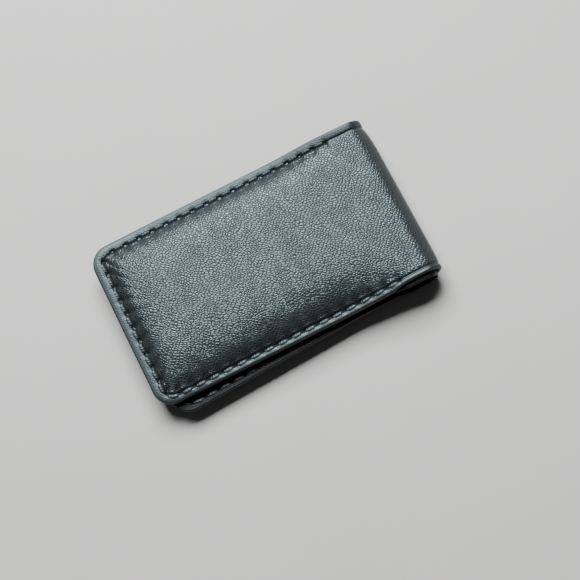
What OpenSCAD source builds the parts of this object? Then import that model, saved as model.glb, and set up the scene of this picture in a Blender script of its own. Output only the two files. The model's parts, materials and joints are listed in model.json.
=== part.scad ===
// Magnetic money clip: a strip of padded leather folded over the notes, with two
// magnets in each leaf. The fold is at +X, the free ends are at -X, and the clip
// lies on the padded crown of its lower leaf, whose flat middle is at z = 0.
// Sizes are in millimetres.

/* [Leaves] */
// Length of the upper leaf, over the outside of the fold
upper_l = 75; // [68:1:90]
// How much shorter the lower leaf is, so that a thumb finds the upper one
set_back = 2; // [0:0.5:4]
// Width of the strip
strip_w = 43; // [38:1:52]
// Radius of the corners at the free ends
corner_r = 5; // [3:0.5:7]
// Angle of each leaf to square, because the strip is folded slightly askew
skew = 1.4; // [0:0.1:1.8]

/* [Leather] */
// Thickness of the outer leather
outer_t = 1; // [0.8:0.1:1.2]
// Thickness of the lining leather
lining_t = 0.9; // [0.7:0.1:1]
// Gap between the two linings when the clip is shut and empty
shut_gap = 0.3; // [0.2:0.05:0.5]
// Inside radius of the loop at the fold
loop_r = 2.7; // [2.5:0.1:3]
// Length over which the loop opens out of the flat leaves
ramp_l = 22; // [18:1:26]

/* [Padding] */
// Height of the padded crown above the middle plane between the leaves
crown_h = 5; // [4.9:0.1:5.4]
// Width of the crown's rounded shoulder
shoulder_w = 9; // [7:0.5:10]
// Thickness of the stiffening board and of the magnets let into it
board_t = 1.5; // [1.2:0.1:1.6]
// Length of a magnet
magnet_l = 20; // [16:1:24]
// Width of a magnet
magnet_w = 10; // [8:0.5:12]
// Distance from the fold line to the middle of the magnets
magnet_x = 46; // [40:1:48]

/* [Stitching] */
// Distance of the stitches from the far long edge
far_margin = 2.2; // [1.8:0.1:2.6]
// Distance of the stitches from the near long edge
near_margin = 1.7; // [1.5:0.1:2.6]
// Distance of the stitches from the free end
end_margin = 2.6; // [2:0.1:3]
// Length of one stitch
stitch_l = 3.65; // [3:0.05:4.5]
// Diameter of the thread
thread_d = 0.6; // [0.5:0.05:0.7]
// Distance from the fold line at which the stitches stop
seam_stop = 6; // [4:0.5:10]

/* [Hidden] */

// The sandwich of the two leathers, and the fold that it bends round
sandwich_t = lining_t + outer_t;
fold_r = loop_r + sandwich_t;

// Distance from the fold line to each free end
upper_reach = upper_l - fold_r;
lower_reach = upper_reach - set_back;

// The fold bends in equal steps about pivots on its outer face
fold_pivots = 4;
fold_step = 180 / fold_pivots;
slit = 0.1;
slit_angle = slit / fold_r * 180 / PI;

// The fold line's place, which puts the middle of the closed clip at x = 0
end_round_x = (upper_reach - corner_r) * cos(skew) + (strip_w / 2 - corner_r) * sin(skew) + corner_r;
fold_x = (end_round_x - fold_r) / 2;

// The padded dome starts just inside the stitches, and is hollow inside the leather
dome_margin = 0.4;
dome_exponent = 2.6;
cavity_end = 4;
board_inset = 2.4;
window_play = 0.2;
shoulder_steps = [0, 0.02, 0.06, 0.13, 0.25, 0.4, 0.6, 0.8, 1];

// How far the needle thread sinks in, how proud the bobbin thread lies, and how much
// of a stitch's length is lost in each of its holes
sunk = 0.1;
bobbin_proud = 0.05;
hole_share = 0.12;

ramp_steps = 16;
arc_steps = 6;
over = 1;
tall = 2 * crown_h;
$fn = 48;

function smooth(t) = let (u = min(1, max(0, t))) u * u * (3 - 2 * u);
function swell(t) =
    let (u = min(1, max(0, t))) pow(1 - pow(1 - u, dome_exponent), 1 / dome_exponent);

// Height of the lining's inner face above the middle plane, at x from the fold line
function lining_z(x) = shut_gap / 2 + (loop_r - shut_gap / 2) * smooth(1 + x / ramp_l);

// Points along a face that is h above the lining's inner face: the flat, the ramp and the arc
function face_points(h, reach, arc_end) = concat(
    [[-reach - over, lining_z(-reach) + h]],
    [for (i = [0 : ramp_steps]) let (x = -ramp_l * (1 - i / ramp_steps)) [x, lining_z(x) + h]],
    [for (i = [1 : arc_steps])
        let (a = 90 - (90 - arc_end) * i / arc_steps)
        [(loop_r + h) * cos(a), (loop_r + h) * sin(a)]]
);
function backwards(v) = [for (i = [len(v) - 1 : -1 : 0]) v[i]];

// Draws an XZ outline as a solid along Y
module across(width) {
    rotate([90, 0, 0])
        linear_extrude(height = width, center = true)
            children();
}

// Draws a YZ outline as a solid along X, from x = 0
module along(length) {
    rotate([90, 0, 90])
        linear_extrude(height = length)
            children();
}

// A leaf's outline as a tall block, turned by lean, with its free-end corners rounded
module leaf_block(reach, lean) {
    rotate([0, 0, lean]) {
        translate([corner_r - reach, -strip_w / 2, -tall])
            cube([reach - corner_r + fold_r, strip_w, 2 * tall]);
        translate([-reach, corner_r - strip_w / 2, -tall])
            cube([2 * corner_r, strip_w - 2 * corner_r, 2 * tall]);
        for (side = [-1, 1])
            translate([corner_r - reach, side * (strip_w / 2 - corner_r), -tall])
                cylinder(h = 2 * tall, r = corner_r);
    }
}

// The sheet between two heights over the lining's inner face, as far as the fold's first slit
module sheet(lo, hi, reach) {
    arc_end = 90 - fold_step / 2 + slit_angle / 2;
    across(strip_w + 4 * over)
        polygon(concat(face_points(lo, reach, arc_end), backwards(face_points(hi, reach, arc_end))));
}

// Everything below the lining's outer face
module under_lining(reach) {
    across(strip_w + 6 * over)
        polygon(concat(
            face_points(lining_t, reach + over, 90 - fold_step / 2),
            [[fold_r, -over], [-reach - 2 * over, -over]]
        ));
}

// The crown over the padding, or the hollow that is t inside it
module dome(reach, lean, t) {
    base_z = shut_gap / 2 + sandwich_t - t;
    rise = crown_h - t - base_z;
    x_end = -reach + end_margin + dome_margin + t;
    x_fold = t > 0 ? -cavity_end : 0;
    y_far = strip_w / 2 - far_margin - dome_margin - t;
    y_near = -strip_w / 2 + near_margin + dome_margin + t;
    shoulder = shoulder_w - t;
    intersection() {
        across(strip_w + 4 * over)
            polygon(concat(
                [[-reach - over, 0], [-reach - over, crown_h - t]],
                [for (i = [0 : ramp_steps])
                    let (x = (x_fold + ramp_l / 2) * i / ramp_steps - ramp_l / 2)
                    [x, crown_h - t - (crown_h - fold_r) * smooth(1 + 2 * x / ramp_l)]],
                [[x_fold, 0]]
            ));
        rotate([0, 0, lean])
            across(strip_w + 2 * over)
                polygon(concat(
                    [[x_end, 0]],
                    [for (s = shoulder_steps) [x_end + shoulder * s, base_z + rise * swell(s)]],
                    [[fold_r, crown_h - t], [fold_r, 0]]
                ));
        rotate([0, 0, lean])
            translate([-reach - over, 0, 0])
                along(reach + fold_r)
                    polygon(concat(
                        [[y_near, 0]],
                        [for (s = shoulder_steps) [y_near + shoulder * s, base_z + rise * swell(s)]],
                        [for (s = backwards(shoulder_steps))
                            [y_far - shoulder * s, base_z + rise * swell(s)]],
                        [[y_far, 0]]
                    ));
    }
}

// Outer leather of one leaf: the flat border, the ramp up to the fold and the padded crown
module outer_leather(reach, lean) {
    color("#1c1e22")
        difference() {
            intersection() {
                union() {
                    sheet(lining_t, sandwich_t, reach);
                    dome(reach, lean, 0);
                }
                leaf_block(reach, lean);
            }
            dome(reach, lean, outer_t);
            under_lining(reach);
        }
}

// Lining leather of one leaf
module lining(reach, lean) {
    color("#15161a")
        intersection() {
            sheet(0, lining_t, reach);
            leaf_block(reach, lean);
        }
}

// The board's outline, from near the free end to where the loop starts to open
module board_block(reach, lean) {
    x_end = -reach + end_margin + dome_margin + board_inset;
    y_far = strip_w / 2 - far_margin - dome_margin - board_inset;
    y_near = -strip_w / 2 + near_margin + dome_margin + board_inset;
    rotate([0, 0, lean])
        translate([x_end, y_near, shut_gap / 2 + lining_t])
            cube([-ramp_l - over - x_end, y_far - y_near, board_t]);
}

// The place of one magnet, larger by play on each side
module magnet_block(side, lean, play) {
    rotate([0, 0, lean])
        translate([
            -magnet_x - magnet_l / 2 - play,
            side * strip_w / 5 - magnet_w / 2 - play,
            shut_gap / 2 + lining_t
        ])
            cube([magnet_l + 2 * play, magnet_w + 2 * play, board_t]);
}

// Stiffening board with a window for each magnet
module board(reach, lean) {
    color("#8a6f4d")
        difference() {
            board_block(reach, lean);
            for (side = [-1, 1])
                magnet_block(side, lean, window_play);
        }
}

// Foam between the board and the outer leather
module foam_pad(reach, lean) {
    color("#5c5f63")
        difference() {
            dome(reach, lean, outer_t);
            under_lining(reach);
            board_block(reach, lean);
        }
}

module magnet(side, lean) {
    color("#c9ccd0")
        magnet_block(side, lean, 0);
}

// A round rod from p to q
module rod(p, q, d) {
    v = q - p;
    l = norm(v);
    translate(p)
        rotate([0, acos(v[2] / l), atan2(v[1], v[0])])
            cylinder(h = l, d = d);
}

// The holes along the seam, from the fold along the far side, the free end and the near side
function seam_holes(reach) =
    let (
        x_end = -reach + end_margin,
        y_far = strip_w / 2 - far_margin,
        y_near = -strip_w / 2 + near_margin,
        side_n = round((-seam_stop - x_end) / stitch_l),
        end_n = round((y_far - y_near) / stitch_l)
    )
    concat(
        [for (i = [0 : side_n]) [-seam_stop + (x_end + seam_stop) * i / side_n, y_far]],
        [for (i = [1 : end_n]) [x_end, y_far + (y_near - y_far) * i / end_n]],
        [for (i = [1 : side_n]) [x_end - (x_end + seam_stop) * i / side_n, y_near]]
    );

// One rod for each stitch, centred h above the lining's inner face and short of its holes
module stitches(reach, lean, h) {
    holes = seam_holes(reach);
    color("#0c0d0f")
        rotate([0, 0, lean])
            for (i = [0 : len(holes) - 2]) {
                short = (holes[i + 1] - holes[i]) * hole_share;
                a = holes[i] + short;
                b = holes[i + 1] - short;
                rod([a[0], a[1], lining_z(a[0]) + h], [b[0], b[1], lining_z(b[0]) + h], thread_d);
            }
}

// The upper thread, pulled a little into the outer leather
module needle_thread(reach, lean) {
    stitches(reach, lean, sandwich_t - sunk);
}

// The lower thread, nearly flush with the lining's inner face
module bobbin_thread(reach, lean) {
    stitches(reach, lean, thread_d / 2 - bobbin_proud);
}

// One rigid step of the fold between two radii; step 1 is next to the lower leaf
module fold_arc(step, r_in, r_out) {
    start = -90 + fold_step * (step - 0.5) + slit_angle / 2;
    turn = fold_step - slit_angle;
    angles = [for (i = [0 : arc_steps]) start + turn * i / arc_steps];
    translate([fold_x, 0, crown_h])
        across(strip_w)
            polygon(concat(
                [for (a = angles) r_in * [cos(a), sin(a)]],
                [for (a = backwards(angles)) r_out * [cos(a), sin(a)]]
            ));
}

module outer_fold(step) {
    color("#22221f")
        fold_arc(step, loop_r + lining_t, fold_r);
}

module lining_fold(step) {
    color("#15161a")
        fold_arc(step, loop_r, loop_r + lining_t);
}

// Puts a leaf above the middle plane, or its mirror image below it
module above() {
    translate([fold_x, 0, crown_h])
        children();
}

module below() {
    translate([fold_x, 0, crown_h])
        mirror([0, 0, 1])
            children();
}

module outer_leather_lower() {
    below() outer_leather(lower_reach, skew);
}

module outer_leather_fold_1() {
    outer_fold(1);
}

module outer_leather_fold_2() {
    outer_fold(2);
}

module outer_leather_fold_3() {
    outer_fold(3);
}

module outer_leather_upper() {
    above() outer_leather(upper_reach, -skew);
}

module lining_lower() {
    below() lining(lower_reach, skew);
}

module lining_fold_1() {
    lining_fold(1);
}

module lining_fold_2() {
    lining_fold(2);
}

module lining_fold_3() {
    lining_fold(3);
}

module lining_upper() {
    above() lining(upper_reach, -skew);
}

module foam_pad_lower() {
    below() foam_pad(lower_reach, skew);
}

module foam_pad_upper() {
    above() foam_pad(upper_reach, -skew);
}

module board_lower() {
    below() board(lower_reach, skew);
}

module board_upper() {
    above() board(upper_reach, -skew);
}

module magnet_lower_left() {
    below() magnet(1, skew);
}

module magnet_lower_right() {
    below() magnet(-1, skew);
}

module magnet_upper_left() {
    above() magnet(1, -skew);
}

module magnet_upper_right() {
    above() magnet(-1, -skew);
}

module needle_thread_lower() {
    below() needle_thread(lower_reach, skew);
}

module needle_thread_upper() {
    above() needle_thread(upper_reach, -skew);
}

module bobbin_thread_lower() {
    below() bobbin_thread(lower_reach, skew);
}

module bobbin_thread_upper() {
    above() bobbin_thread(upper_reach, -skew);
}

outer_leather_lower();
outer_leather_fold_1();
outer_leather_fold_2();
outer_leather_fold_3();
outer_leather_upper();
lining_lower();
lining_fold_1();
lining_fold_2();
lining_fold_3();
lining_upper();
foam_pad_lower();
foam_pad_upper();
board_lower();
board_upper();
magnet_lower_left();
magnet_lower_right();
magnet_upper_left();
magnet_upper_right();
needle_thread_lower();
needle_thread_upper();
bobbin_thread_lower();
bobbin_thread_upper();
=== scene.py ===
# A magnetic money clip: one strip of black pebble-grained leather with a leather lining,
# folded in the middle into two padded leaves, sewn round the edge and shut by magnets.
# Sizes are in millimetres until a mesh is made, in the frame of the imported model.
import json
import math

import bpy
import numpy as np
from mathutils import Matrix, Vector

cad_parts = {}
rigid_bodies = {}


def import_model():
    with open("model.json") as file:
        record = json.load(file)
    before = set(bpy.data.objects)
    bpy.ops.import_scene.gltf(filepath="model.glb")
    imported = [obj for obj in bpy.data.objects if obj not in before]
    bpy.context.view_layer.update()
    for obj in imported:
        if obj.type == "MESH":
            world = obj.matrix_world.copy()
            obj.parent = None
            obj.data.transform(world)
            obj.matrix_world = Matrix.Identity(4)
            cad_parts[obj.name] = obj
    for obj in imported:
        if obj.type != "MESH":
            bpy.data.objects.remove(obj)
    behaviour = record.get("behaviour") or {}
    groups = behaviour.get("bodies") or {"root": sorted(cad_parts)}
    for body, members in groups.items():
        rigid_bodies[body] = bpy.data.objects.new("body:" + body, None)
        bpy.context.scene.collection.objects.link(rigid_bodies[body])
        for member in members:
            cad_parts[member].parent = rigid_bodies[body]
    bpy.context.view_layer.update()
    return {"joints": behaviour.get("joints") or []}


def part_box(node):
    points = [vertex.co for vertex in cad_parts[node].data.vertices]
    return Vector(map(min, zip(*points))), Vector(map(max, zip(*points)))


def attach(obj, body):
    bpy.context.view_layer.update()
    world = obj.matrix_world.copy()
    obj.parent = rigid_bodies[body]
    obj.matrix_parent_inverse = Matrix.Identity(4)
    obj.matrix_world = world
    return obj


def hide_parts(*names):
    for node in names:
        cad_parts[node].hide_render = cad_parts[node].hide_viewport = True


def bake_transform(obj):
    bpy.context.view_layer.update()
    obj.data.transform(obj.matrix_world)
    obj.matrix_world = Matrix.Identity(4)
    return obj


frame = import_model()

# ---------------------------------------------------------------------------------------
# Outer leather of the upper leaf. Black pebble-grained cowhide, 1 mm thick, is moulded over the foam
# pad, cut to a rounded free end, and sewn to the lining round its edge.
# ---------------------------------------------------------------------------------------
MM = 0.001
STRIP_W = 43.0
UPPER_L = 75.0
CORNER_R = 5.0
SKEW = math.radians(1.4)
LINING_T = 0.9
OUTER_T = 1.0
SANDWICH_T = LINING_T + OUTER_T
RAMP_L = 22.0
HALF_W = STRIP_W / 2

hinges = [Vector(j["pos_m"]) / MM for j in frame["joints"]]
FOLD_STEP = math.pi / len(hinges)
FOLD_R = (hinges[2].z - hinges[1].z) / 2 / math.sin(FOLD_STEP / 2)
FOLD_X = hinges[1].x - FOLD_R * math.cos(FOLD_STEP / 2)
MID_Z = (hinges[1].z + hinges[2].z) / 2
LOOP_R = FOLD_R - SANDWICH_T
STEP_L = FOLD_R * FOLD_STEP
SHUT_GAP = 2 * (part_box("lining_upper")[0].z / MM - MID_Z)
CROWN_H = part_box("outer_leather_upper")[1].z / MM - MID_Z


def smooth(t):
    """A ramp from 0 to 1 with level ends: 3t^2 - 2t^3, with t held between 0 and 1."""
    t = np.clip(t, 0, 1)
    return t * t * (3 - 2 * t)


def bell(t):
    """The bell curve exp(-t^2)."""
    return np.exp(-t * t)


def lining_z(x):
    """Height of the lining's inner face over the middle plane: level, then up a smooth
    ramp to the loop's radius at the fold line, x = 0."""
    return SHUT_GAP / 2 + (LOOP_R - SHUT_GAP / 2) * smooth(1 + x / RAMP_L)


LEAN_FADE_L = 20.0
FAR_PINCH = 0.75
FAR_PINCH_W = 4.5
NEAR_PINCH = 0.4
NEAR_PINCH_W = 2.5
WAIST = 0.5
WAIST_L = 12.0
WAIST_W = 8.0


def flat_x(a, b, lean):
    """Distance of a leaf's points from the fold line. The leaf's lean fades out at the
    fold, so that its cross-cuts there are parallel to the fold."""
    return a * math.cos(lean) - b * math.sin(lean) * smooth(-a / LEAN_FADE_L)


def in_place(a, b, height, side, lean):
    """Points of the strip in the frame. a runs along the strip from the fold line, b across
    it, and height is above the lining's inner face. With a below 0 a point lies on a leaf;
    past 0 it goes round the fold at the angle a / FOLD_R. side is 1 on the upper leaf and
    -1 on the lower one, its mirror image. The fold's two ends are pinched in, and its far
    edge is drawn in by WAIST, which fades out along the leaf."""
    leaf_a = np.minimum(a, 0)
    angle = np.maximum(a, 0) / FOLD_R
    pinch = FAR_PINCH * bell((HALF_W - b) / FAR_PINCH_W)
    pinch = pinch + NEAR_PINCH * bell((HALF_W + b) / NEAR_PINCH_W)
    waist = WAIST * smooth(1 + a / WAIST_L) * bell((HALF_W - b) / WAIST_W)
    x = np.where(a > 0, (LOOP_R + height - pinch) * np.sin(angle), flat_x(leaf_a, b, lean))
    y = leaf_a * math.sin(lean) + b - waist
    z = np.where(a > 0, (LOOP_R + height) * np.cos(angle), lining_z(x) + height)
    return np.stack([FOLD_X + x, y, MID_Z + side * z], -1)


FAR_MARGIN = 2.2
NEAR_MARGIN = 1.7
END_MARGIN = 2.6
SEAM_STOP = 6.0
STITCH_L = 3.65
FAN_L = 26.0
FAN_END = 16.0
COLUMN_L = 0.24
FOLD_COLUMNS = 30
CORNER_COLUMNS = 34
END_COLUMNS = 68
MARGIN_EASE_L = 12.0
SEAM_EASE_L = 0.8


def run_along(points):
    """Distance along a run of points, from the first one."""
    steps = np.linalg.norm(np.diff(points, axis=0), axis=1)
    return np.concatenate([[0], np.cumsum(steps)])


def there_and_back(values, sign=1):
    """A run of values, followed by its mirror image, which shares the last value."""
    return np.concatenate([values, sign * values[-2::-1]])


class Plan:
    """A stretch of the strip seen flat, as columns round its edge. Each column starts at a
    point of the edge, square to it, and ends on the strip's middle line. margin is the
    seam's distance from the edge, and fullness is that of the crown. reach is the free
    end's distance from the fold line. A stretch without a free end has None, and its far
    columns stop at break_at."""

    def __init__(self, side, edge, inward, spine, margin, reach=None, fullness=1.0, break_at=None):
        self.side = side
        self.fullness = fullness
        self.lean = -side * SKEW
        self.edge = edge
        self.inward = inward
        self.spine = np.stack([spine, np.zeros(len(spine))], -1)
        self.margin = margin
        self.reach = reach
        self.break_at = break_at
        self.seam = edge + inward * margin[:, None]
        self.seam_run = run_along(self.seam)
        self.holes = np.zeros(0)
        self.from_hole = np.full(len(edge), STITCH_L)
        self.sewn = np.zeros(len(edge))

    def sew(self):
        """Puts the holes along the seam, from SEAM_STOP before the fold, round the free end
        and back. from_hole is each column's distance from the nearest hole, and sewn is 1
        along the stitches and 0 beyond them."""
        far_half = slice(len(self.edge) // 2)
        start = np.interp(SEAM_STOP, -self.seam[far_half, 0], self.seam_run[far_half])
        stop = self.seam_run[-1] - start
        self.holes = np.linspace(start, stop, round((stop - start) / STITCH_L) + 1)
        self.from_hole = np.abs(self.seam_run[:, None] - self.holes).min(1)
        begun = smooth((self.seam_run - start) / SEAM_EASE_L + 1)
        self.sewn = begun * smooth((stop - self.seam_run) / SEAM_EASE_L + 1)

    def row(self, depth, share=0.0):
        """One row's a, b and distance in from the edge, which lies depth in along each
        column and then share of the way from there to the middle line."""
        depth = np.broadcast_to(depth, len(self.edge))
        start = self.edge + self.inward * depth[:, None]
        plan = start + share * (self.spine - start)
        return plan[:, 0], plan[:, 1], depth + np.linalg.norm(plan - start, axis=1)

    def trimmed(self, first):
        """The same plan without the first columns and the last ones that match them."""
        kept = slice(first, len(self.edge) - first)
        return Plan(self.side, self.edge[kept], self.inward[kept], self.spine[kept, 0],
                    self.margin[kept], self.reach, self.fullness)


def leaf_plan(side, length, fullness):
    """The plan of a leaf, from its cut one step round the fold, past the free end and back.
    The columns of the last FAN_L fan out from a short stretch of the middle line that ends
    FAN_END from the free end. The more fullness is over 1, the wider the crown's level top."""
    reach = length - FOLD_R
    round_a = CORNER_R - reach
    straight = np.concatenate([
        np.linspace(STEP_L, 0, FOLD_COLUMNS, endpoint=False),
        np.linspace(0, round_a, int(-round_a / COLUMN_L), endpoint=False)])
    turn = np.linspace(0, math.pi / 2, CORNER_COLUMNS)
    end_b = np.linspace(HALF_W - CORNER_R, 0, END_COLUMNS + 1)[1:]
    a = np.concatenate([straight, round_a - CORNER_R * np.sin(turn), np.full(END_COLUMNS, -reach)])
    b = np.concatenate([
        np.full(straight.size, HALF_W), HALF_W - CORNER_R + CORNER_R * np.cos(turn), end_b])
    angle = np.concatenate([np.zeros(straight.size), turn, np.full(END_COLUMNS, math.pi / 2)])
    edge = np.stack([there_and_back(a), there_and_back(b, -1)], -1)
    inward = np.stack([there_and_back(np.sin(angle)), there_and_back(-np.cos(angle), -1)], -1)

    run = run_along(edge)
    corner = run[straight.size]
    far = 1 - smooth((run - corner + 2) / MARGIN_EASE_L)
    near = 1 - smooth((run[-1] - run - corner + 2) / MARGIN_EASE_L)
    margin = END_MARGIN + (FAR_MARGIN - END_MARGIN) * far + (NEAR_MARGIN - END_MARGIN) * near

    middle = len(a) - 1
    fan = int(np.argmin(np.abs(a + reach - FAN_L)))
    share = (run[fan:middle + 1] - run[fan]) / (run[middle] - run[fan])
    gathered = a[fan] + reach - FAN_END
    spine = a.copy()
    spine[fan:] = a[fan] - gathered * (1 - (1 - share) ** ((run[middle] - run[fan]) / gathered))
    plan = Plan(side, edge, inward, there_and_back(spine), margin, reach, fullness)
    plan.sew()
    return plan


PAD_START = 0.35
CROWN_END_L = 11.0
TOP_ROUNDING = 0.001

# Share of each side's rise that is steep, and the lengths of its steep and slow parts.
FAR_RISE = (0.75, 3.2, 8.0)
NEAR_RISE = (0.62, 4.8, 9.0)
END_RISE = (0.55, 2.3, 6.0)


def crown_share(plan, a, b):
    """How far the padding lifts the leather: 0 at the seam and 1 on the crown. Each side
    rises as k tanh(d/l) + (1 - k) (1 - e^(-d/m)) with the distance d from the seam,
    the three sides multiply, and the top is levelled off at 1."""
    distances = (HALF_W - FAR_MARGIN - b, HALF_W - NEAR_MARGIN + b, a + plan.reach - END_MARGIN)
    rise = 1.0
    for distance, (steep, short, long) in zip(distances, (FAR_RISE, NEAR_RISE, END_RISE)):
        d = np.maximum(distance - PAD_START, 0)
        rise = rise * (steep * np.tanh(d / short) + (1 - steep) * (1 - np.exp(-d / long)))
    over = rise * plan.fullness - 1
    return 1 + 0.5 * (over - np.sqrt(over * over + TOP_ROUNDING))


def pad_lift(plan, a, b):
    """Height that the pad adds to the leather. It dies away towards the fold, where the
    crown runs into the fold's round."""
    if plan.reach is None:
        return np.zeros(len(a))
    x = flat_x(np.minimum(a, 0), b, plan.lean)
    crown = CROWN_H - (CROWN_H - FOLD_R) * smooth(1 + x / CROWN_END_L)
    return np.maximum(crown - lining_z(x) - SANDWICH_T, 0) * crown_share(plan, a, b)


OUTER_RELIEF = 0.06


def fold_relief(a, height):
    """The leather over the fold stands out by height over each hinge line and comes back
    to the round between them, so that it lies flatter when it is opened out."""
    return height * (1 - np.cos(2 * math.pi * np.maximum(a, 0) / STEP_L)) / 2


PARTING_START = 9.0
PARTING_L = 5.0
OUTER_CURL = 0.2
OUTER_CURL_W = 1.5
OUTER_SLIP = 0.5
SLIP_W = 1.6


def unsewn(a):
    """0 where the seam holds the two leathers together, and 1 where they part at the fold."""
    return smooth((a + PARTING_START) / PARTING_L)


def border_lift(a, depth):
    """How far the outer leather's edge curls away from the lining where it isn't sewn."""
    return OUTER_CURL * unsewn(a) * bell(depth / OUTER_CURL_W)


def row_of(plan, depth, share=0.0, slip=OUTER_SLIP):
    """A plan's row as a, b and distance in from the edge. The unsewn border on the near
    side is moved in by slip, for the two leathers have crept past each other there."""
    a, b, distance = plan.row(depth, share)
    return a, b + slip * unsewn(a) * bell(distance / SLIP_W) * smooth(-b), distance


# What the edge and the seam do to the outer face: heights H and depths D at right angles
# to it, and widths W and lengths L along it.
SWELL_H = 0.05
DROOP_D = 0.24
DROOP_W = 0.95
GROOVE_D = 0.16
SEWN_GROOVE_D = 0.2
LOOSE_GROOVE_D = 0.12
GROOVE_W = 0.4
HOLE_D = 0.34
HOLE_W = 0.55
HOLE_RIM_D = 0.08
PUCKER_D = 0.2
PUCKER_W = 0.8
RIPPLE_H = 0.12
END_RIPPLE_H = 0.26
RIPPLE_L = 2.6
SCALLOP_H = 0.17
SCALLOP_W = 0.35
UNEVEN_H = 0.035
FREE_END_A = -50.0
FREE_END_L = 15.0


def outer_face(plan, a, b, depth):
    """Height of the outer face over the lining's inner face: the sandwich and the pad's
    lift; the border's low swell, which droops at the free end; the seam's groove, deepest
    at the holes; a pucker above each hole, with ripples that die away up the crown; a
    scallop between holes; and the gentle unevenness of handwork, as slow sine waves."""
    inside = depth - plan.margin
    hole = bell(plan.from_hole / HOLE_W) * plan.sewn
    pucker = bell(plan.from_hole / PUCKER_W) * plan.sewn
    scallop = (1 - bell(plan.from_hole)) * plan.sewn
    at_end = smooth((FREE_END_A - a) / FREE_END_L)
    lift = pad_lift(plan, a, b)
    height = SANDWICH_T + lift + fold_relief(a, OUTER_RELIEF)

    height = height + SWELL_H * bell((inside + plan.margin / 2) / (plan.margin / 3))
    height = height - DROOP_D * at_end * bell(depth / DROOP_W)

    groove = bell(inside / (GROOVE_W * np.where(inside < 0, 0.65, 1.15)))
    groove_d = GROOVE_D + LOOSE_GROOVE_D * unsewn(a) + SEWN_GROOVE_D * plan.sewn + HOLE_D * hole
    height = height - groove_d * groove
    height = height - HOLE_RIM_D * hole * bell((inside + 0.6) / 0.4)

    height = height - PUCKER_D * pucker * bell((inside - 1.0) / PUCKER_W)
    up_the_crown = smooth(inside / 1.5) * np.exp(-np.maximum(inside, 0) / RIPPLE_L)
    ripple = (RIPPLE_H + END_RIPPLE_H * at_end) * (pucker - 0.3) * plan.sewn
    height = height - ripple * up_the_crown
    height = height + SCALLOP_H * scallop * bell((inside - 0.75) / SCALLOP_W)

    uneven = np.sin(a / 4.1 + 1.3) * np.sin(b / 5.3 + 0.4) + 0.6 * np.sin(a / 7.7 - b / 6.1)
    height = height + UNEVEN_H * uneven * smooth(lift / 1.5)
    return height + border_lift(a, depth)


def shell(name, plan, rows, pressed):
    """A closed skin over a plan. rows holds (a, b, height) for each row, from the middle
    line underneath, out round the edge and back to the middle line on top, where the far
    and near columns meet. Open ends are capped. pressed maps row numbers to how much of
    the grain is lost there: all of it on the painted edge, and some on the pressed border.
    The attribute strip holds the place on the flat strip, in millimetres from the fold."""
    count = len(rows)
    columns = len(plan.edge)
    index = np.arange(count * columns).reshape(count, columns)
    column = np.arange(columns)
    for r in (0, count - 1):
        index[r] = np.where(column < columns / 2, index[r], index[r, ::-1])
    points = np.concatenate([in_place(a, b, height, plan.side, plan.lean) for a, b, height in rows])

    c = column[:-1]
    caps = [np.concatenate([index[:, 0], index[-2:0:-1, -1]])]
    if plan.break_at is not None:
        n = plan.break_at
        c = c[c != n]
        caps.append(np.concatenate([index[::-1, n], index[1:-1, n + 1]]))
    quads = np.stack([index[:-1, c], index[:-1, c + 1], index[1:, c + 1], index[1:, c]], -1)
    used = np.unique(index)
    renumber = np.zeros(count * columns, int)
    renumber[used] = np.arange(used.size)
    faces = renumber[quads.reshape(-1, 4)[:, ::plan.side]].tolist()
    faces += [renumber[cap[::plan.side]].tolist() for cap in caps]
    piece = make_mesh(name, points[used], faces)

    loss = np.zeros((count, columns))
    loss[list(pressed)] = np.array(list(pressed.values()))[:, None]
    attribute = piece.data.attributes.new("pressed", "FLOAT", "POINT")
    attribute.data.foreach_set("value", loss.ravel()[used].astype(np.float32))
    strip = np.concatenate([
        np.stack([plan.side * (a - 2 * STEP_L), b, 0 * a], -1) for a, b, height in rows])
    attribute = piece.data.attributes.new("strip", "FLOAT_VECTOR", "POINT")
    attribute.data.foreach_set("vector", strip[used].astype(np.float32).ravel())
    return piece


def make_mesh(name, points, faces, sharp_angle=50):
    """A smooth-shaded piece from points in millimetres and lists of corner numbers. Edges
    bent by more than sharp_angle degrees stay sharp."""
    mesh = bpy.data.meshes.new(name)
    mesh.from_pydata((points * MM).tolist(), [], faces)
    mesh.polygons.foreach_set("use_smooth", np.ones(len(mesh.polygons), bool))
    mesh.set_sharp_from_angle(angle=math.radians(sharp_angle))
    mesh.update()
    piece = bpy.data.objects.new(name, mesh)
    bpy.context.scene.collection.objects.link(piece)
    return piece


RIM_R = 0.48
RIM_INSET = 0.1
UNDER_R = 0.15
BORDER_PRESSED = 0.6
INSIDE_SEAM = 1.0
OUTSIDE_SEAM = 0.7
PLAIN_SHARES = (1.0, 0.8, 0.62, 0.46, 0.33, 0.22, 0.13, 0.06)
FINE_ROWS = 26
FINE_SHARES = tuple(
    i / FINE_ROWS * (0.3 + 0.7 * i / FINE_ROWS) for i in range(1, FINE_ROWS + 1))


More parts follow.
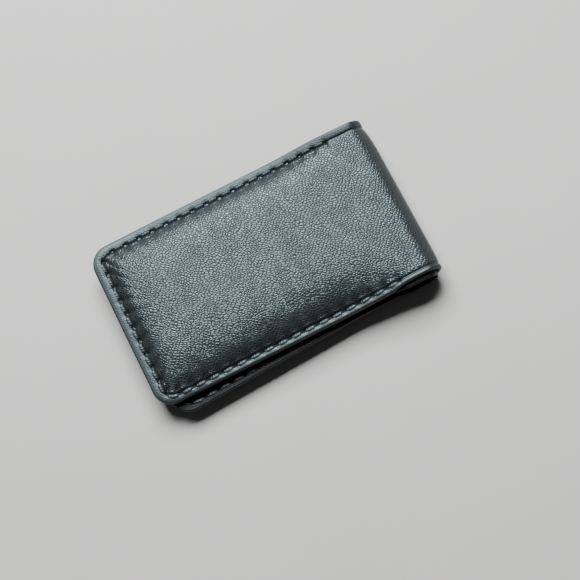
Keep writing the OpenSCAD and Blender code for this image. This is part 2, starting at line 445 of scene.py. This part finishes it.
def outer_rows(plan):
    """The outer leather's rows: its hidden underside over the pad, the small round under
    its edge, the cut edge, the rim's round, the border, the groove and the crown."""
    rows = []
    for share in PLAIN_SHARES:
        a, b, _ = row_of(plan, plan.margin + INSIDE_SEAM, share)
        rows.append((a, b, LINING_T + pad_lift(plan, a, b)))
    for inset in (1.0, 0.4):
        a, b, _ = row_of(plan, inset)
        rows.append((a, b, LINING_T + border_lift(a, inset)))

    pressed = {}
    for turn in (0.5 * math.pi, 0.25 * math.pi, 0.0):
        inset = RIM_INSET + UNDER_R * (1 - math.cos(turn))
        a, b, _ = row_of(plan, inset)
        pressed[len(rows)] = 1.0
        rows.append((a, b, LINING_T + UNDER_R * (1 - math.sin(turn)) + border_lift(a, inset)))
    for turn in np.linspace(0, 0.5 * math.pi, 6):
        inset = RIM_INSET + RIM_R * (1 - math.cos(turn))
        a, b, _ = row_of(plan, inset)
        top = outer_face(plan, a, b, np.full(len(a), RIM_INSET + RIM_R))
        pressed[len(rows)] = 1.0
        rows.append((a, b, top - RIM_R * (1 - math.sin(turn))))

    border_w = plan.margin - OUTSIDE_SEAM - RIM_INSET - RIM_R
    for share in (0.3, 0.6, 1.0):
        a, b, depth = row_of(plan, RIM_INSET + RIM_R + share * border_w)
        pressed[len(rows)] = BORDER_PRESSED
        rows.append((a, b, outer_face(plan, a, b, depth)))
    for inside in np.arange(-0.6, 1.01, 0.1):
        a, b, depth = row_of(plan, plan.margin + inside)
        pressed[len(rows)] = BORDER_PRESSED * (1 - smooth(inside + 0.2))
        rows.append((a, b, outer_face(plan, a, b, depth)))
    for share in FINE_SHARES:
        a, b, depth = row_of(plan, plan.margin + INSIDE_SEAM, share)
        rows.append((a, b, outer_face(plan, a, b, depth)))
    return rows, pressed


class Wire:
    """A node's output. Sums, products and 1 - output add Math nodes."""

    def __init__(self, finish, socket):
        self.finish = finish
        self.socket = socket

    def output(self, name):
        """Another output of the same node."""
        return Wire(self.finish, self.socket.node.outputs[name])

    def __add__(self, other):
        return self.finish.maths("ADD", self, other)

    def __rsub__(self, other):
        return self.finish.maths("SUBTRACT", other, self)

    def __mul__(self, other):
        return self.finish.maths("MULTIPLY", self, other)

    __radd__ = __add__
    __rmul__ = __mul__


class Finish:
    """A material with one Principled shader, and the one method that adds its nodes."""

    def __init__(self, name, **constants):
        self.material = bpy.data.materials.new(name)
        self.material.use_nodes = True
        self.tree = self.material.node_tree
        self.shader = self.tree.nodes["Principled BSDF"]
        for socket, value in constants.items():
            self.shader.inputs[socket.replace("_", " ")].default_value = value

    def node(self, kind, settings=None, inputs=None, output=0):
        """Adds a node: its settings first, then a value or a link for each of its sockets."""
        made = self.tree.nodes.new(kind)
        for key, value in (settings or {}).items():
            setattr(made, key, value)
        for key, value in (inputs or {}).items():
            self.put(made.inputs[key], value)
        return Wire(self, made.outputs[output])

    def put(self, socket, value):
        """Links a wire to a socket, or sets its value."""
        if isinstance(value, Wire):
            self.tree.links.new(value.socket, socket)
        else:
            socket.default_value = value

    def feed(self, **wires):
        """Links wires to the shader's own sockets."""
        for name, wire in wires.items():
            self.put(self.shader.inputs[name.replace("_", " ")], wire)

    def place(self):
        """Object coordinates in millimetres."""
        here = self.node("ShaderNodeTexCoord", output="Object")
        scaled = {0: here, "Scale": 1 / MM}
        return self.node("ShaderNodeVectorMath", {"operation": "SCALE"}, scaled)

    def noise(self, where, scale, detail=2.0, roughness=0.5):
        """Noise from 0 to 1, with scale in cycles per millimetre."""
        inputs = {"Vector": where, "Scale": scale, "Detail": detail, "Roughness": roughness}
        return self.node("ShaderNodeTexNoise", {}, inputs)

    def maths(self, operation, *values):
        """A Math node of that operation on these values."""
        return self.node("ShaderNodeMath", {"operation": operation}, dict(enumerate(values)))

    def ramp(self, value, low, high):
        """A smooth ramp from 0 at low to 1 at high."""
        inputs = {0: value, 1: low, 2: high, 3: 0.0, 4: 1.0}
        return self.node("ShaderNodeMapRange", {"interpolation_type": "SMOOTHSTEP"}, inputs)

    def mix(self, share, first, second):
        """A colour between two colours."""
        first = first if isinstance(first, Wire) else (*first, 1)
        second = second if isinstance(second, Wire) else (*second, 1)
        return self.node("ShaderNodeMix", {"data_type": "RGBA"}, {0: share, 6: first, 7: second}, 2)

    def bump(self, height, depth, under=None):
        """Bump from a height of 0 to 1, depth millimetres deep, over another bump."""
        inputs = {"Height": height, "Distance": depth * MM, "Strength": 1.0}
        if under is not None:
            inputs["Normal"] = under
        return self.node("ShaderNodeBump", {}, inputs)


GRAIN_TURN = math.radians(42)
DRIFT_L = 2.4
VALLEY_DULLNESS = 0.5
PORE_D = 0.002


def pebbled_leather(name, colour, valley_shade_and_pressed_black, cell, depth, gloss, edge_gloss, shine, tint):
    """Pebble-grained leather, drawn on the flat strip. Flat-topped cells of about cell millimetres,
    stretched along GRAIN_TURN and bent by slow noise, are parted by dull valleys, and finer creases
    cross them. The valleys are painted darker in the base colour, towards the valley black, as painted
    shade; the painted edge and, in part, the pressed border take that black too. The grain is depth
    millimetres deep. gloss and edge_gloss are the roughness of the grain and of the painted edge."""
    finish = Finish(name, Specular_IOR_Level=shine, Specular_Tint=(*tint, 1))
    here = finish.node("ShaderNodeAttribute", {"attribute_name": "strip"}, {}, "Vector")
    drift = finish.noise(here, 0.16, 1.0).output("Color")
    drifted = {0: drift, 1: (DRIFT_L,) * 3, 2: here}
    bent = finish.node("ShaderNodeVectorMath", {"operation": "MULTIPLY_ADD"}, drifted)
    stretched = finish.node(
        "ShaderNodeMapping", {"vector_type": "TEXTURE"},
        {"Vector": bent, "Rotation": (0.0, 0.0, -GRAIN_TURN), "Scale": (1.2, 0.85, 1.0)})
    cells = {"feature": "DISTANCE_TO_EDGE", "voronoi_dimensions": "2D"}
    voronoi = {"Vector": stretched, "Scale": 1 / cell, "Randomness": 0.8}
    valleys = finish.node("ShaderNodeTexVoronoi", cells, voronoi)
    inner = {"Vector": stretched, "Scale": 2.1 / cell, "Randomness": 1.0}
    creases = finish.node("ShaderNodeTexVoronoi", cells, inner)
    pebble = finish.ramp(valleys, 0.0, 0.34)
    small = finish.ramp(creases, 0.0, 0.3)
    soft = finish.noise(here, 0.7, 2.0)
    fine = finish.noise(here, 5.0, 2.0)
    pressed = finish.node("ShaderNodeAttribute", {"attribute_name": "pressed"}, {}, "Fac")
    bare = 1 - pressed
    grain = (pebble * 0.9 + small * 0.1) * (0.9 + soft * 0.2) * bare + pressed * 0.5
    # The valleys' mask: duller there, and darker in the base colour as painted shade; the painted edge
    # and, in part, the pressed border take the same dark.
    valley_dull_and_shade = (1 - finish.ramp(valleys, 0.02, 0.16)) * bare
    tone = finish.mix(finish.ramp(soft, 0.35, 0.7), colour, [1.25 * c for c in colour])
    finish.feed(
        Base_Color=finish.mix(valley_dull_and_shade + 0.8 * pressed, tone, valley_shade_and_pressed_black),
        Roughness=(gloss + 0.06 * fine + VALLEY_DULLNESS * valley_dull_and_shade) * bare + edge_gloss * pressed,
        Normal=finish.bump(fine, PORE_D, finish.bump(grain, depth)))
    return finish.material


OUTER_BLACK = (0.007, 0.008, 0.009)
# The valley black is painted shade in the grain's valleys, and also the dark of the painted edge and,
# in part, the pressed border.
VALLEY_SHADE_AND_PRESSED_BLACK = (0.002, 0.0025, 0.003)
SHEEN = (0.75, 0.935, 1.0)
outer_leather = pebbled_leather(
    "outer_leather", OUTER_BLACK, VALLEY_SHADE_AND_PRESSED_BLACK, cell=0.64, depth=0.056,
    gloss=0.3, edge_gloss=0.56, shine=0.8, tint=SHEEN)


def round_the_fold(turn, radius):
    """The point at an angle round the fold's axis, from +X towards +Z, in metres."""
    x = FOLD_X + radius * math.cos(turn)
    z = MID_Z + radius * math.sin(turn)
    return (x * MM, 0, z * MM)


def bend(piece, step, radius):
    """Bakes a piece's place into its mesh. It works out where hinge line number step, counted from 0
    at the lower leaf, starts and a point radius from the fold's axis, but uses neither, so the piece
    isn't bent.
    """
    order = ["lower_leaf", "fold_1", "fold_2", "fold_3", "upper_leaf"]
    start = -math.pi / 2 + step * FOLD_STEP
    order[step + 1]
    round_the_fold(start + FOLD_STEP, radius)
    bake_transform(piece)


def finish_piece(piece, material, slot, *nodes):
    """Gives a piece its material and hides the CAD nodes that it stands for. slot is not used."""
    piece.data.materials.append(material)
    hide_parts(*nodes)


OUTER_MID_R = FOLD_R - OUTER_T / 2
upper = leaf_plan(1, UPPER_L, fullness=1.13)
outer_upper = shell("leather_upper", upper, *outer_rows(upper))
finish_piece(outer_upper, outer_leather, "outer_leather", "outer_leather_upper")
bend(outer_upper, 3, OUTER_MID_R)

# ---------------------------------------------------------------------------------------
# Outer leather of the lower leaf. The same strip under the clip, 2 mm shorter so that a
# thumb finds the upper leaf. Its crown is flat where the clip rests on it.
# ---------------------------------------------------------------------------------------
LOWER_L = 73.0
lower = leaf_plan(-1, LOWER_L, fullness=1.3)
outer_lower = shell("leather_lower", lower, *outer_rows(lower))
finish_piece(outer_lower, outer_leather, "outer_leather", "outer_leather_lower")
bend(outer_lower, 0, OUTER_MID_R)

# ---------------------------------------------------------------------------------------
# Outer leather round the fold. The strip goes on round the back of the clip between the leaves, unsewn
# and without padding.
# ---------------------------------------------------------------------------------------


def fold_plan(side):
    """The plan of half the fold, from its middle to the leaf's cut and back."""
    a = np.linspace(2 * STEP_L, STEP_L, FOLD_COLUMNS + 1)
    n = len(a)
    there_back = np.concatenate([a, a[::-1]])
    edge = np.stack([there_back, np.repeat([HALF_W, -HALF_W], n)], -1)
    inward = np.stack([np.zeros(2 * n), np.repeat([-1.0, 1.0], n)], -1)
    margin = np.repeat([FAR_MARGIN, NEAR_MARGIN], n)
    return Plan(side, edge, inward, there_back, margin, break_at=n - 1)


fold_upper = fold_plan(1)
fold_lower = fold_plan(-1)
outer_fold_upper = shell("leather_fold_upper", fold_upper, *outer_rows(fold_upper))
finish_piece(outer_fold_upper, outer_leather, "outer_leather", "outer_leather_fold_3")
bend(outer_fold_upper, 2, OUTER_MID_R)

outer_fold_lower = shell("leather_fold_lower", fold_lower, *outer_rows(fold_lower))
finish_piece(outer_fold_lower, outer_leather, "outer_leather",
             "outer_leather_fold_1", "outer_leather_fold_2")
bend(outer_fold_lower, 1, OUTER_MID_R)

# ---------------------------------------------------------------------------------------
# Lining. A second strip, of thin black calf, backs the first one and lines the loop that
# holds the notes. It is sewn to the outer leather round each leaf and loose from it at
# the fold, and the board under it shows as a faint step.
# ---------------------------------------------------------------------------------------
LINING_ROUND = 0.3
LINING_INSET = 0.05
LINING_SLIP = -0.7
LINING_CURL = 0.25
LINING_CURL_W = 1.8
LINING_BACK = LINING_T - 0.02
LINING_RELIEF = 0.1
BOARD_INSET = 2.4
DOME_MARGIN = 0.4
BOARD_T = 1.5
BOARD_STEP_H = 0.06
BOARD_STEP_W = 0.8
BOBBIN_GROOVE_D = 0.08
SEWN_BOBBIN_D = 0.24
BOBBIN_HOLE_D = 0.2
BOBBIN_HOLE_W = 0.5
BOBBIN_PUCKER_D = 0.07
WAVE_H = 0.02


def board_mark(plan, a, b):
    """1 over the stiffening board and 0 beyond it, with a soft step round its outline."""
    if plan.reach is None:
        return np.zeros(len(a))
    seam_to_board = DOME_MARGIN + BOARD_INSET
    from_sides = (
        HALF_W - FAR_MARGIN - seam_to_board - b,
        HALF_W - NEAR_MARGIN - seam_to_board + b,
        a + plan.reach - END_MARGIN - seam_to_board,
        -RAMP_L - flat_x(a, b, plan.lean))
    mark = 1.0
    for distance in from_sides:
        mark = mark * smooth(0.5 + distance / BOARD_STEP_W)
    return mark


def inner_face(plan, a, b, depth):
    """Height of the lining's inner face: level, with the leather pulled in along the seam
    and at its holes, puckered beside them, pressed out a little by the board, and waved
    slowly as sines. Over the fold it is hollowed between the hinge lines."""
    inside = depth - plan.margin
    hole = bell(plan.from_hole / BOBBIN_HOLE_W) * plan.sewn
    height = fold_relief(a, LINING_RELIEF)
    height = height + BOARD_STEP_H * (1 - board_mark(plan, a, b)) * smooth(-a / 10)
    groove_d = BOBBIN_GROOVE_D + SEWN_BOBBIN_D * plan.sewn + BOBBIN_HOLE_D * hole
    height = height + groove_d * bell(inside / GROOVE_W)
    height = height + BOBBIN_PUCKER_D * hole * bell((inside - 0.8) / 0.7)
    wave = np.sin(a / 3.3 + b / 8.0) * np.sin(b / 4.4 + 0.7)
    return height + WAVE_H * wave * smooth(inside / 3)


def lining_back(a, depth):
    """Height of the lining's back, which curls away from the outer leather at the fold."""
    return LINING_BACK - LINING_CURL * unsewn(a) * bell(depth / LINING_CURL_W)


def lining_rows(plan):
    """The lining's rows: its inner face from the middle line out to the groove and the
    border, the round of its cut edge, and its hidden back."""
    rows = []
    for share in FINE_SHARES[::-1]:
        a, b, depth = row_of(plan, plan.margin + INSIDE_SEAM, share, LINING_SLIP)
        rows.append((a, b, inner_face(plan, a, b, depth)))
    for inside in np.arange(1.0, -0.61, -0.1):
        a, b, depth = row_of(plan, plan.margin + inside, slip=LINING_SLIP)
        rows.append((a, b, inner_face(plan, a, b, depth)))
    edge_w = LINING_INSET + LINING_ROUND
    for share in (0.66, 0.33):
        inset = edge_w + share * (plan.margin - OUTSIDE_SEAM - edge_w)
        a, b, depth = row_of(plan, inset, slip=LINING_SLIP)
        rows.append((a, b, inner_face(plan, a, b, depth)))

    pressed = {}
    for turn in np.linspace(0.5 * math.pi, -0.5 * math.pi, 9):
        inset = LINING_INSET + LINING_ROUND * (1 - math.cos(turn))
        a, b, depth = row_of(plan, inset, slip=LINING_SLIP)
        if turn > 0:
            height = inner_face(plan, a, b, depth) + LINING_ROUND * (1 - math.sin(turn))
        else:
            height = lining_back(a, inset) - LINING_ROUND * (1 + math.sin(turn))
        pressed[len(rows)] = 1.0
        rows.append((a, b, height))
    for inset in (0.7, 1.4):
        a, b, _ = row_of(plan, inset, slip=LINING_SLIP)
        rows.append((a, b, lining_back(a, inset)))
    for share in PLAIN_SHARES[::-1]:
        a, b, depth = row_of(plan, plan.margin + INSIDE_SEAM, share, LINING_SLIP)
        rows.append((a, b, LINING_BACK + 0 * depth))
    return rows, pressed


LINING_BLACK = (0.0045, 0.0046, 0.005)
lining_leather = pebbled_leather(
    "lining_leather", LINING_BLACK, VALLEY_SHADE_AND_PRESSED_BLACK, cell=0.42, depth=0.05,
    gloss=0.5, edge_gloss=0.38, shine=0.35, tint=(1.0, 1.0, 1.0))
LINING_MID_R = LOOP_R + LINING_T / 2
for plan, name, step, nodes in (
        (upper, "lining_leather_upper", 3, ["lining_upper"]),
        (fold_upper, "lining_leather_fold_upper", 2, ["lining_fold_3"]),
        (fold_lower, "lining_leather_fold_lower", 1, ["lining_fold_1", "lining_fold_2"]),
        (lower, "lining_leather_lower", 0, ["lining_lower"])):
    lining = shell(name, plan, *lining_rows(plan))
    finish_piece(lining, lining_leather, "lining_leather", *nodes)
    bend(lining, step, LINING_MID_R)

# ---------------------------------------------------------------------------------------
# Foam pads. A die-cut pad of closed-cell foam fills each leaf between the board and the
# outer leather, which is moulded over it. It thins out at the seam and towards the fold.
# ---------------------------------------------------------------------------------------
foam = Finish("foam", Roughness=0.85, Specular_IOR_Level=0.3)
foam_cells = foam.node("ShaderNodeTexVoronoi", {}, {"Vector": foam.place(), "Scale": 3.0})
foam.feed(
    Base_Color=foam.mix(foam_cells, (0.17, 0.17, 0.165), (0.06, 0.06, 0.06)),
    Normal=foam.bump(foam_cells, 0.12))

FOAM_MARGIN = 0.7
FOAM_END = -2.5
FOAM_MIN_T = 0.02


def foam_rows(plan):
    """The foam's rows: its underside, hollowed for the board, and its top, which follows
    the leather."""
    under = []
    top = []
    for share in (0.0,) + FINE_SHARES[1::2]:
        a, b, _ = row_of(plan, plan.margin + FOAM_MARGIN, share)
        lifted = np.maximum(pad_lift(plan, a, b) - 2 * FOAM_MIN_T, 2 * FOAM_MIN_T)
        hollow = FOAM_MIN_T + (BOARD_T + 0.03) * board_mark(plan, a, b)
        floor = np.minimum(hollow, lifted - FOAM_MIN_T)
        under.append((a, b, LINING_T + floor))
        top.append((a, b, LINING_T + lifted))
    return under[::-1] + top, {0: 0.0}


for plan, name, body in ((upper, "foam_upper", "upper_leaf"), (lower, "foam_lower", "lower_leaf")):
    first = int(np.argmax(plan.edge[:, 0] < FOAM_END))
    inner = plan.trimmed(first)
    pad = shell(name, inner, *foam_rows(inner))
    finish_piece(pad, foam.material, "foam", name.replace("foam", "foam_pad"))
    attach(pad, body)

# ---------------------------------------------------------------------------------------
# Boards and magnets. A stiffening board lies on the lining of each leaf, with a window
# for each of two plated block magnets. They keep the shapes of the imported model.
# ---------------------------------------------------------------------------------------
board = Finish("fibre_board", Roughness=0.8, Specular_IOR_Level=0.3)
stretched = board.node("ShaderNodeMapping", {}, {"Vector": board.place(), "Scale": (0.5, 3.0, 3.0)})
fibres = board.noise(stretched, 2.2, 6.0, 0.65)
specks = board.noise(board.place(), 6.0, 2.0)
board.feed(
    Base_Color=board.mix(board.ramp(fibres, 0.35, 0.7), (0.23, 0.19, 0.145), (0.13, 0.105, 0.08)),
    Roughness=0.7 + 0.2 * specks,
    Normal=board.bump(fibres, 0.05))

nickel = Finish("nickel_plate", Metallic=1.0)
brushed = nickel.noise(nickel.place(), 5.0, 4.0)
spots = nickel.noise(nickel.place(), 0.5, 3.0)
nickel.feed(
    Base_Color=nickel.mix(nickel.ramp(spots, 0.45, 0.7), (0.66, 0.64, 0.6), (0.52, 0.5, 0.47)),
    Roughness=0.16 + 0.18 * spots,
    Normal=nickel.bump(brushed, 0.006))

for leaf in ("lower", "upper"):
    for part, finish in (("board_{}", board), ("magnet_{}_left", nickel), ("magnet_{}_right", nickel)):
        materials = bpy.data.objects[part.format(leaf)].data.materials
        materials.clear()
        materials.append(finish.material)

# ---------------------------------------------------------------------------------------
# Thread. Black waxed two-ply polyester in a lockstitch: one stitch of the needle thread
# from hole to hole on the outer leather, and one of the bobbin thread on the lining. Each
# stitch rises out of one hole and dives into the next.
# ---------------------------------------------------------------------------------------
THREAD_W = 1.25
THREAD_H = 0.62
THREAD_OFF = 0.22
FAR_SINK = 0.1
STITCH_RINGS = 13
STITCH_SIDES = 8
STITCH_SHARE = 0.97
HALF_STITCH_L = 1.8


def seam_thread(name, plan, level, dive, slant):
    """All the stitches of one seam. A stitch is a tube along the seam from hole to hole, at
    s from -1 to 1. Its middle lies THREAD_OFF outside the seam, slants across it, and has
    the height level + dive s^6, a little lower on the far side. It thins as 1 - 0.45 s^2,
    with two lobes that wind round it. The UV map wound holds the share of the way round it
    and the millimetres along it."""
    turn = np.linspace(-0.5, 0.5, STITCH_RINGS) * math.pi
    s = np.sin(turn)[None, :, None]
    round_it = (np.arange(STITCH_SIDES) / STITCH_SIDES * 2 * math.pi)[None, None, :]
    middle = ((plan.holes[1:] + plan.holes[:-1]) / 2)[:, None, None]
    half = (plan.holes[1] - plan.holes[0]) / 2
    run = middle + STITCH_SHARE * half * s + 0 * round_it
    lobes = 1 + 0.08 * np.cos(2 * round_it - 3 * math.pi * s)
    girth = (1 - 0.45 * s * s) * lobes + 0 * run
    off = slant * s - THREAD_OFF + girth * THREAD_W / 2 * np.cos(round_it)
    a, b, in_a, in_b = (np.interp(run, plan.seam_run, values) for values in (
        plan.seam[:, 0], plan.seam[:, 1], plan.inward[:, 0], plan.inward[:, 1]))
    sink = FAR_SINK * smooth(b / 10)
    height = level - sink + dive * s ** 6 + girth * THREAD_H / 2 * np.sin(round_it)
    a = a + in_a * off
    b = b + in_b * off
    points = in_place(a.ravel(), b.ravel(), height.ravel(), plan.side, plan.lean)

    index = np.arange(points.shape[0]).reshape(run.shape)
    after = np.roll(index, -1, 2)
    walls = np.stack([index[:, :-1], after[:, :-1], after[:, 1:], index[:, 1:]], -1)
    ends = np.concatenate([index[:, 0, ::-1], index[:, -1]])
    order = -plan.side
    faces = walls.reshape(-1, 4)[:, ::order].tolist() + ends[:, ::order].tolist()
    piece = make_mesh(name, points, faces, 70)

    wound = np.broadcast_to(np.arange(STITCH_SIDES) / STITCH_SIDES, walls.shape[:3])
    along = np.broadcast_to(HALF_STITCH_L * s, index.shape)
    u = np.stack([wound, wound + 1 / STITCH_SIDES, wound + 1 / STITCH_SIDES, wound], -1)
    v = np.stack([along[:, :-1], along[:, :-1], along[:, 1:], along[:, 1:]], -1)
    uv = np.zeros((len(piece.data.loops), 2), np.float32)
    uv[:u.size] = np.stack([u[..., ::order].ravel(), v[..., ::order].ravel()], -1)
    piece.data.uv_layers.new(name="wound").data.foreach_set("uv", uv.ravel())
    return piece


PLY_TWIST = 9.0
thread = Finish("thread", Specular_IOR_Level=0.5, Specular_Tint=(*SHEEN, 1))
wound = thread.node("ShaderNodeUVMap", {"uv_map": "wound"})
round_thread = thread.node("ShaderNodeSeparateXYZ", {}, {0: wound})
turned = round_thread * (4 * math.pi) + round_thread.output("Y") * PLY_TWIST
ply = thread.maths("SINE", turned) * 0.5 + 0.5
fuzz = thread.noise(thread.place(), 8.0, 3.0)
# The base colour is darker between the plies, as painted shade in the grooves of the twist.
thread.feed(
    Base_Color=thread.mix(ply, (0.004, 0.0045, 0.005), (0.014, 0.016, 0.019)),
    Roughness=0.38 + 0.15 * fuzz,
    Normal=thread.bump(ply * 0.8 + fuzz * 0.2, 0.045))

NEEDLE_LEVEL = SANDWICH_T + 0.16 - THREAD_H / 2
BOBBIN_LEVEL = THREAD_H / 2 - 0.03
for plan, leaf in ((lower, "lower"), (upper, "upper")):
    needle = seam_thread(f"needle_stitches_{leaf}", plan, NEEDLE_LEVEL, dive=-0.9, slant=0.1)
    bobbin = seam_thread(f"bobbin_stitches_{leaf}", plan, BOBBIN_LEVEL, dive=0.6, slant=-0.1)
    for piece, node in ((needle, f"needle_thread_{leaf}"), (bobbin, f"bobbin_thread_{leaf}")):
        finish_piece(piece, thread.material, "thread", node)
        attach(piece, f"{leaf}_leaf")

# ---------------------------------------------------------------------------------------
# The stand: a plain pale floor under the lower leaf's crown, one large soft light beyond
# the far side, and the camera, which looks down on the clip from the near side.
# ---------------------------------------------------------------------------------------
FLOOR_W = 6000.0
FLOOR_Z = -0.06
corners = np.array([(-1, -1, 0), (1, -1, 0), (1, 1, 0), (-1, 1, 0)]) * FLOOR_W / 2
floor = make_mesh("floor", corners + (0, 0, FLOOR_Z), [[0, 1, 2, 3]])
floor_paint = Finish("floor_paint", Specular_IOR_Level=0.3)
floor_noise = floor_paint.noise(floor_paint.place(), 0.02, 3.0)
floor_paint.feed(
    Base_Color=floor_paint.mix(floor_noise, (0.42, 0.40, 0.385), (0.47, 0.445, 0.43)),
    Roughness=0.6 + 0.1 * floor_noise)
floor.data.materials.append(floor_paint.material)


def aim(thing, target, direction, distance, turn=0.0):
    """Puts a light or the camera at a distance from the target, looking back at it, with
    world X turned anticlockwise in its view by the given angle."""
    back = Vector(direction).normalized()
    across = (Vector((1, 0, 0)) - back.x * back).normalized()
    up = back.cross(across)
    right = math.cos(turn) * across - math.sin(turn) * up
    up = math.sin(turn) * across + math.cos(turn) * up
    place = Matrix((right, up, back)).transposed().to_4x4()
    place.translation = Vector(target) + back * distance
    thing.matrix_world = place
    bpy.context.scene.collection.objects.link(thing)


world = bpy.data.worlds.new("soft_surround")
world.use_nodes = True
world.node_tree.nodes["Background"].inputs["Color"].default_value = (0.95, 0.97, 1.0, 1)
world.node_tree.nodes["Background"].inputs["Strength"].default_value = 0.06
bpy.context.scene.world = world

key = bpy.data.lights.new("key", "AREA")
key.shape = "RECTANGLE"
key.size = 0.47
key.size_y = 0.36
key.energy = 15.2
key.color = (0.95, 0.98, 1.0)
aim(bpy.data.objects.new("key", key), (0, 0, 0.005), (0.13, 0.59, 0.8), 0.65)

CAMERA_TILT = math.radians(13)
camera = bpy.data.cameras.new("camera")
camera.lens = 142.2
camera.clip_start = 0.01
view = bpy.data.objects.new("camera", camera)
aim(view, (0.00296, -0.0083, 0.006), (0, -math.sin(CAMERA_TILT), math.cos(CAMERA_TILT)),
    0.55, math.radians(28.1))
bpy.context.scene.camera = view
